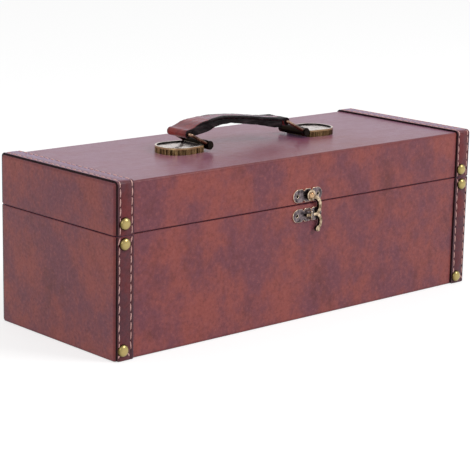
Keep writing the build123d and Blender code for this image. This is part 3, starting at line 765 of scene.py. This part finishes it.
metal_crease = radians(40)
nail_radius = 0.00435
nail_height = 0.0030
nail_lip = 0.0004
nail_hem = 0.0001
nail_tuck = 0.0003
shank_radius = 0.0008
shank_length = 0.0065
nail_steps = 32
nail_profile = [
    (nail_radius * sin(radians(lean)), nail_lip + (nail_height - nail_lip) * cos(radians(lean)))
    for lean in range(0, 91, 10)
]
nail_profile += [
    (nail_radius, nail_hem), (nail_radius - nail_tuck, 0.0),
    (shank_radius, 0.0), (shank_radius, -shank_length), (0.0, -shank_length),
]
nail = turned("nail", nail_profile, nail_steps)
nail_places = {
    "lid": [(-0.16785, 0.0938), (0.1650, 0.0918)],
    "base": [(-0.16785, 0.0801), (0.1664, 0.0801), (-0.1692, 0.0077), (0.1650, 0.0061)],
}
for group in ("base_front_nails", "base_back_nails", "lid_front_nails", "lid_back_nails"):
    body, face_name = group.split("_")[:2]
    front = -1 if face_name == "front" else 1
    turn = Matrix.Rotation(-front * pi / 2, 4, "X")
    driven = []
    for x, z in nail_places[body]:
        spun = Matrix.Rotation(chance.uniform(0, 2 * pi), 4, "Z")
        seat = Matrix.Translation((-front * x, front * strap_face, z))
        driven.append(another(nail))
        driven[-1].data.transform(seat @ turn @ spun)
    nails = joined(driven, group.replace("nails", "domed_nails"))
    dress(nails, nail_brass)
    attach(nails, body)
    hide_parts(group)
bpy.data.objects.remove(nail)


# The clasp: a hook cast in brass that turns on a rivet in the top plate and catches in a loop on
# the lower one. Both plates are pinned on, and all of it is bronzed dark, with bright edges that
# are partly worn and partly painted highlight. Its mauve is a painted reflection of the leather,
# and the hook's sides are painted shade.
def metal(name, dark, bright, tarnish, scale, roughness, dents):
    """Cast or pressed metal, darker where it has tarnished, with a slightly uneven surface."""
    made, tree, place = finish(name)
    patches = place.noise(scale, 4, 0.6)
    colour = patches.rise(tarnish - 0.2, tarnish + 0.2).tint(bright, dark)
    waves = place.noise(scale * 1.5, 2, 0.5)
    surface(tree, colour, patches * 0.2 + roughness, waves, dents, {"Metallic": 1.0})
    return made


# The body's mauve is a painted reflection of the leather round it.
clasp_brass = metal(
    "clasp_brass", dark=(0.020, 0.016, 0.020, 1), bright=(0.26, 0.205, 0.215, 1),
    tarnish=0.50, scale=320, roughness=0.18, dents=0.00014,
)
clasp_edge_wear_and_highlight = metal(
    "clasp_edge_wear_and_highlight", dark=(0.40, 0.27, 0.15, 1), bright=(0.92, 0.76, 0.58, 1),
    tarnish=0.58, scale=420, roughness=0.16, dents=0.00006,
)
clasp_shaded_side = metal(
    "clasp_shaded_side", dark=(0.008, 0.006, 0.005, 1), bright=(0.05, 0.036, 0.030, 1),
    tarnish=0.45, scale=320, roughness=0.24, dents=0.0001,
)
clasp_front_wear_and_highlight = metal(
    "clasp_front_wear_and_highlight", dark=(0.13, 0.08, 0.045, 1), bright=(0.78, 0.61, 0.43, 1),
    tarnish=0.47, scale=420, roughness=0.18, dents=0.0001,
)
rivet_brass = metal(
    "rivet_brass", dark=(0.20, 0.10, 0.045, 1), bright=(0.66, 0.44, 0.26, 1),
    tarnish=0.5, scale=420, roughness=0.16, dents=0.00006,
)
pin_dark = metal(
    "pin_dark", dark=(0.01, 0.008, 0.007, 1), bright=(0.03, 0.024, 0.02, 1),
    tarnish=0.5, scale=400, roughness=0.4, dents=0.0001,
)
filed_plate = 0.0007
filed_loop = 0.0003
filed_hook = 0.0006
filed_steps = 3
filed_from = radians(38)
flat_enough = radians(0.5)
plate_front = -0.97
hook_front = -0.3


def crisp(node_name, new_name, body, width, face, edge):
    """A node's shape, its sharp edges filed round and bright: partly wear, partly painted
    highlight.
    """
    piece = copied(node_name, new_name)
    edit(piece)
    bpy.ops.mesh.select_all(action="SELECT")
    bpy.ops.mesh.dissolve_limited(angle_limit=flat_enough)
    bpy.ops.object.mode_set(mode="OBJECT")
    dress(piece, face, edge)
    modified(piece, "BEVEL", {
        "width": width, "segments": filed_steps, "limit_method": "ANGLE",
        "angle_limit": filed_from, "material": 1,
    })
    bpy.ops.object.shade_smooth_by_angle(angle=metal_crease)
    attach(piece, body)
    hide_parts(node_name)
    return piece


for node_name, new_name, body in (
    ("clasp_top_plate", "clasp_upper_plate", "lid"),
    ("clasp_catch_plate", "clasp_lower_plate", "base"),
):
    plate = crisp(node_name, new_name, body, filed_plate, clasp_brass, clasp_edge_wear_and_highlight)
    # Every face that does not look straight out front is bright, partly wear and partly painted
    # highlight.
    for face in plate.data.polygons:
        face.material_index = int(face.normal.y > plate_front)
crisp("clasp_loop", "clasp_eye", "base", filed_loop, clasp_brass, clasp_edge_wear_and_highlight)
lever = crisp("clasp_hook", "clasp_lever", "clasp_hook", filed_hook, clasp_shaded_side, clasp_front_wear_and_highlight)
# The hook's front is bright, partly wear and partly painted highlight; its other faces are painted
# shade.
for face in lever.data.polygons:
    face.material_index = int(face.normal.y < hook_front)
dress(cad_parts["clasp_rivet"], rivet_brass)
for name in ("clasp_top_pins", "clasp_catch_pins"):
    dress(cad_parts[name], pin_dark)


# The handle's mounts: two cast brass plates screwed up through the lid, each with a flat bright
# rim round a sunk field, reeded sides, and a pin that a ring turns on. Their pale tops are a
# painted reflection, and their walls within and the metal about their pins are painted shade.
plate_floor = 0.0042
knuckle_reach = 0.0046
reed_dark = (0.06, 0.042, 0.016, 1)
reed_bright = (0.42, 0.32, 0.15, 1)
lip_highlight = (0.72, 0.58, 0.30, 1)
lip_highlight_strength = 0.8
inner_wall_shade = (0.035, 0.03, 0.03, 1)
field_reflection_grey = (0.60, 0.59, 0.68, 1)
field_reflection_bright = (0.78, 0.76, 0.88, 1)
rim_reflection_brown = (0.30, 0.22, 0.12, 1)
rim_reflection_bright = (0.74, 0.64, 0.50, 1)
knuckle_shade = (0.010, 0.006, 0.005, 1)
knuckle_shade_strength = 0.98
plate_waves = 0.0003
bronze = {"Metallic": 1.0, "Specular Tint": (0.86, 0.85, 0.90, 1)}


def plate_brass(name, side):
    """Cast brass, olive down its reeded side, its pale top a painted reflection, dark within as
    shade.
    """
    made, tree, place = finish(name)
    low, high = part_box(f"handle_plate_{side}")
    centre = ((low.x + high.x) / 2, 0, 0)
    pin_low, pin_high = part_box(f"handle_pin_{side}")
    pivot = (pin_low.x + pin_high.x) / 2
    x, y, z = split(tree, place)
    normal = tree.node("TexCoord", {}, {}, output="Normal")
    upwards = split(tree, normal)[2]
    outwards = tree.node("VectorMath", {"operation": "SUBTRACT"}, {0: place, 1: centre})
    turned_out = tree.node("VectorMath", {"operation": "DOT_PRODUCT"}, {0: normal, 1: outwards}, 1)
    patches = place.noise(260, 4, 0.6)
    reeds = place.stretched(1, 1, 0.06).noise(620, 2, 0.6)
    lip = z.rise(top + plate_floor - 0.0006, top + plate_floor + 0.0002)
    sides = reeds.rise(0.38, 0.62).tint(reed_dark, reed_bright)
    # A painted highlight along the top of each side.
    sides = (lip * lip_highlight_strength).tint(sides, lip_highlight)
    # The walls that face inwards are painted shade.
    sides = turned_out.rise(-0.0005, 0.0005).tint(inner_wall_shade, sides)
    # The top's pale field and rim are a painted reflection of the room.
    field = patches.rise(0.30, 0.70).tint(field_reflection_grey, field_reflection_bright)
    rim = patches.rise(0.30, 0.55).tint(rim_reflection_brown, rim_reflection_bright)
    colour = upwards.rise(0.55, 0.9).tint(sides, lip.tint(field, rim))
    # Painted shade and a painted dark reflection of the handle about the pin.
    near_pin = 1 - abs(x - pivot).rise(knuckle_reach - 0.001, knuckle_reach + 0.001)
    knuckle_shading = near_pin * knuckle_shade_strength
    colour = knuckle_shading.tint(colour, knuckle_shade)
    roughness = 0.10 + patches * 0.14 + knuckle_shading * 0.45
    surface(tree, colour, roughness, place.noise(130, 2), plate_waves, bronze)
    return made


for side in ("left", "right"):
    dress(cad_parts[f"handle_plate_{side}"], plate_brass(f"handle_brass_{side}", side))
for node in nodes_named("handle_pin"):
    dress(node, pin_dark)
steel = metal(
    "screw_steel", dark=(0.35, 0.35, 0.36, 1), bright=(0.6, 0.6, 0.62, 1),
    tarnish=0.5, scale=300, roughness=0.25, dents=0.0001,
)
for node in nodes_named("handle_screws"):
    dress(node, steel)


# The rings: two square loops of round wire with flattened eyes, coppery where they are rubbed,
# that lean outwards on their pins and carry the leather by its rolled ends.
wire_bright = (0.42, 0.27, 0.19, 1)
wire_dark = (0.07, 0.034, 0.024, 1)
wire_brown = (0.13, 0.060, 0.040, 1)
eye_black = (0.012, 0.010, 0.012, 1)
wire_relief = 0.00015


def ring_brass(name, side):
    """Round wire, coppery and rubbed bright, black about its eyes."""
    made, tree, place = finish(name)
    pin_low, pin_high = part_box(f"handle_pin_{side}")
    pivot = (pin_low + pin_high) / 2
    x, y, z = split(tree, place)
    reach = abs(x - pivot.x) + abs(z - pivot.z)
    patches = place.noise(260, 4, 0.6)
    wire = patches.rise(0.32, 0.66).tint(wire_bright, wire_dark)
    wire = reach.rise(0.008, 0.020).tint(wire_brown, wire)
    colour = (reach + patches * 0.002).rise(0.0042, 0.0068).tint(eye_black, wire)
    surface(tree, colour, 0.16 + patches * 0.2, patches, wire_relief, {"Metallic": 1.0})
    return made


for side in ("left", "right"):
    dress(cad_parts[f"handle_ring_{side}"], ring_brass(f"ring_brass_{side}", side))


# The handle: an arched leather grip, its top layer rolled round both rings and sewn down over a
# padding of stacked leather, the cut edges painted black in layers.
grip_red = (0.270, 0.034, 0.026, 1)
grip_brown = (0.150, 0.026, 0.030, 1)
handle_leather = leather(
    "handle_leather", grip_red, grip_brown, cloud=60, grain=1000, depth=0.00012, gloss=0.16,
    sheen=0.3,
)
layer_black = (0.005, 0.003, 0.004, 1)
layer_grey = (0.045, 0.032, 0.036, 1)
layer_relief = 0.0009
layer_shine = 0.10
handle_edge, tree, place = finish("handle_edge")
layers = place.stretched(0.35, 1, 1.2).noise(260, 4, 0.65)
layer_colour = layers.rise(0.45, 0.75).tint(layer_black, layer_grey)
surface(
    tree, layer_colour, 0.38 + layers * 0.25, layers, layer_relief,
    {"Specular IOR Level": layer_shine},
)

handle_voxel = 0.00045
handle_smoothing = 5
crease_scale = 190
crease_seed = 7
side_slope = 0.3
painted_slope = 0.5
bar_low, bar_span = -0.0665, 0.096
waist = [(-1, 10.4), (0.05, 10.4), (0.14, 9.3), (0.26, 7.7), (0.4, 6.6), (0.6, 6.6), (0.74, 7.7),
         (0.86, 9.3), (0.95, 10.4), (2, 10.4)]
paint_from, paint_to = 0.2, 1.1
paint_run = 50
paint_widest = 0.0046
lean_from = 0.6
lean_run = 0.0085


def waist_at(share):
    """Half the grip's width at a share of the way from the left bar to the right one."""
    for (left, first), (right, second) in zip(waist, waist[1:]):
        if share <= right:
            return (first + (second - first) * (share - left) / (right - left)) / 1000
    return waist[-1][1] / 1000


# Each layer's node, name and slot, the height of its creases, and how far its sides are set in.
grip_layers = (
    ("handle_top_leather", "grip_top", "handle_leather", 0.00022, 0),
    ("handle_padding", "grip_padding", "handle_edge_leather", 0.00045, 0.0006),
)
noise.seed_set(crease_seed)
for node_name, new_name, slot, creases, inset in grip_layers:
    grip = copied(node_name, new_name)
    softened(grip, handle_voxel, handle_smoothing)
    slopes = [vertex.normal.y for vertex in grip.data.vertices]
    for vertex, slope in zip(grip.data.vertices, slopes):
        worked = noise.noise_vector(vertex.co * crease_scale) * creases
        tuck = inset if abs(slope) > side_slope else 0
        side = 1 if vertex.co.y > 0 else -1
        vertex.co += Vector((0, worked.y - side * tuck, worked.z))
    dress(grip, handle_leather, handle_edge)
    for face in grip.data.polygons:
        at, out = face.center, face.normal
        share = (at.x - bar_low) / bar_span
        painted = new_name == "grip_padding" or abs(out.y) > painted_slope
        if paint_from < share < paint_to and out.z > 0:
            band = min(paint_widest, (share - paint_from) / paint_run)
            band += max(0, share - lean_from) * lean_run
            painted = painted or abs(at.y) > waist_at(share) - band
        face.material_index = int(painted)
    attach(grip, "handle")
    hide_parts(node_name)


# The hinges: two brass butt hinges, their leaves screwed flat on the back over the leather and
# their knuckles standing clear of it at the seam.
hinge_brass = metal(
    "hinge_brass", dark=(0.20, 0.14, 0.06, 1), bright=(0.52, 0.38, 0.18, 1),
    tarnish=0.5, scale=200, roughness=0.22, dents=0.0001,
)
for node in nodes_named("hinge"):
    dress(node, hinge_brass)
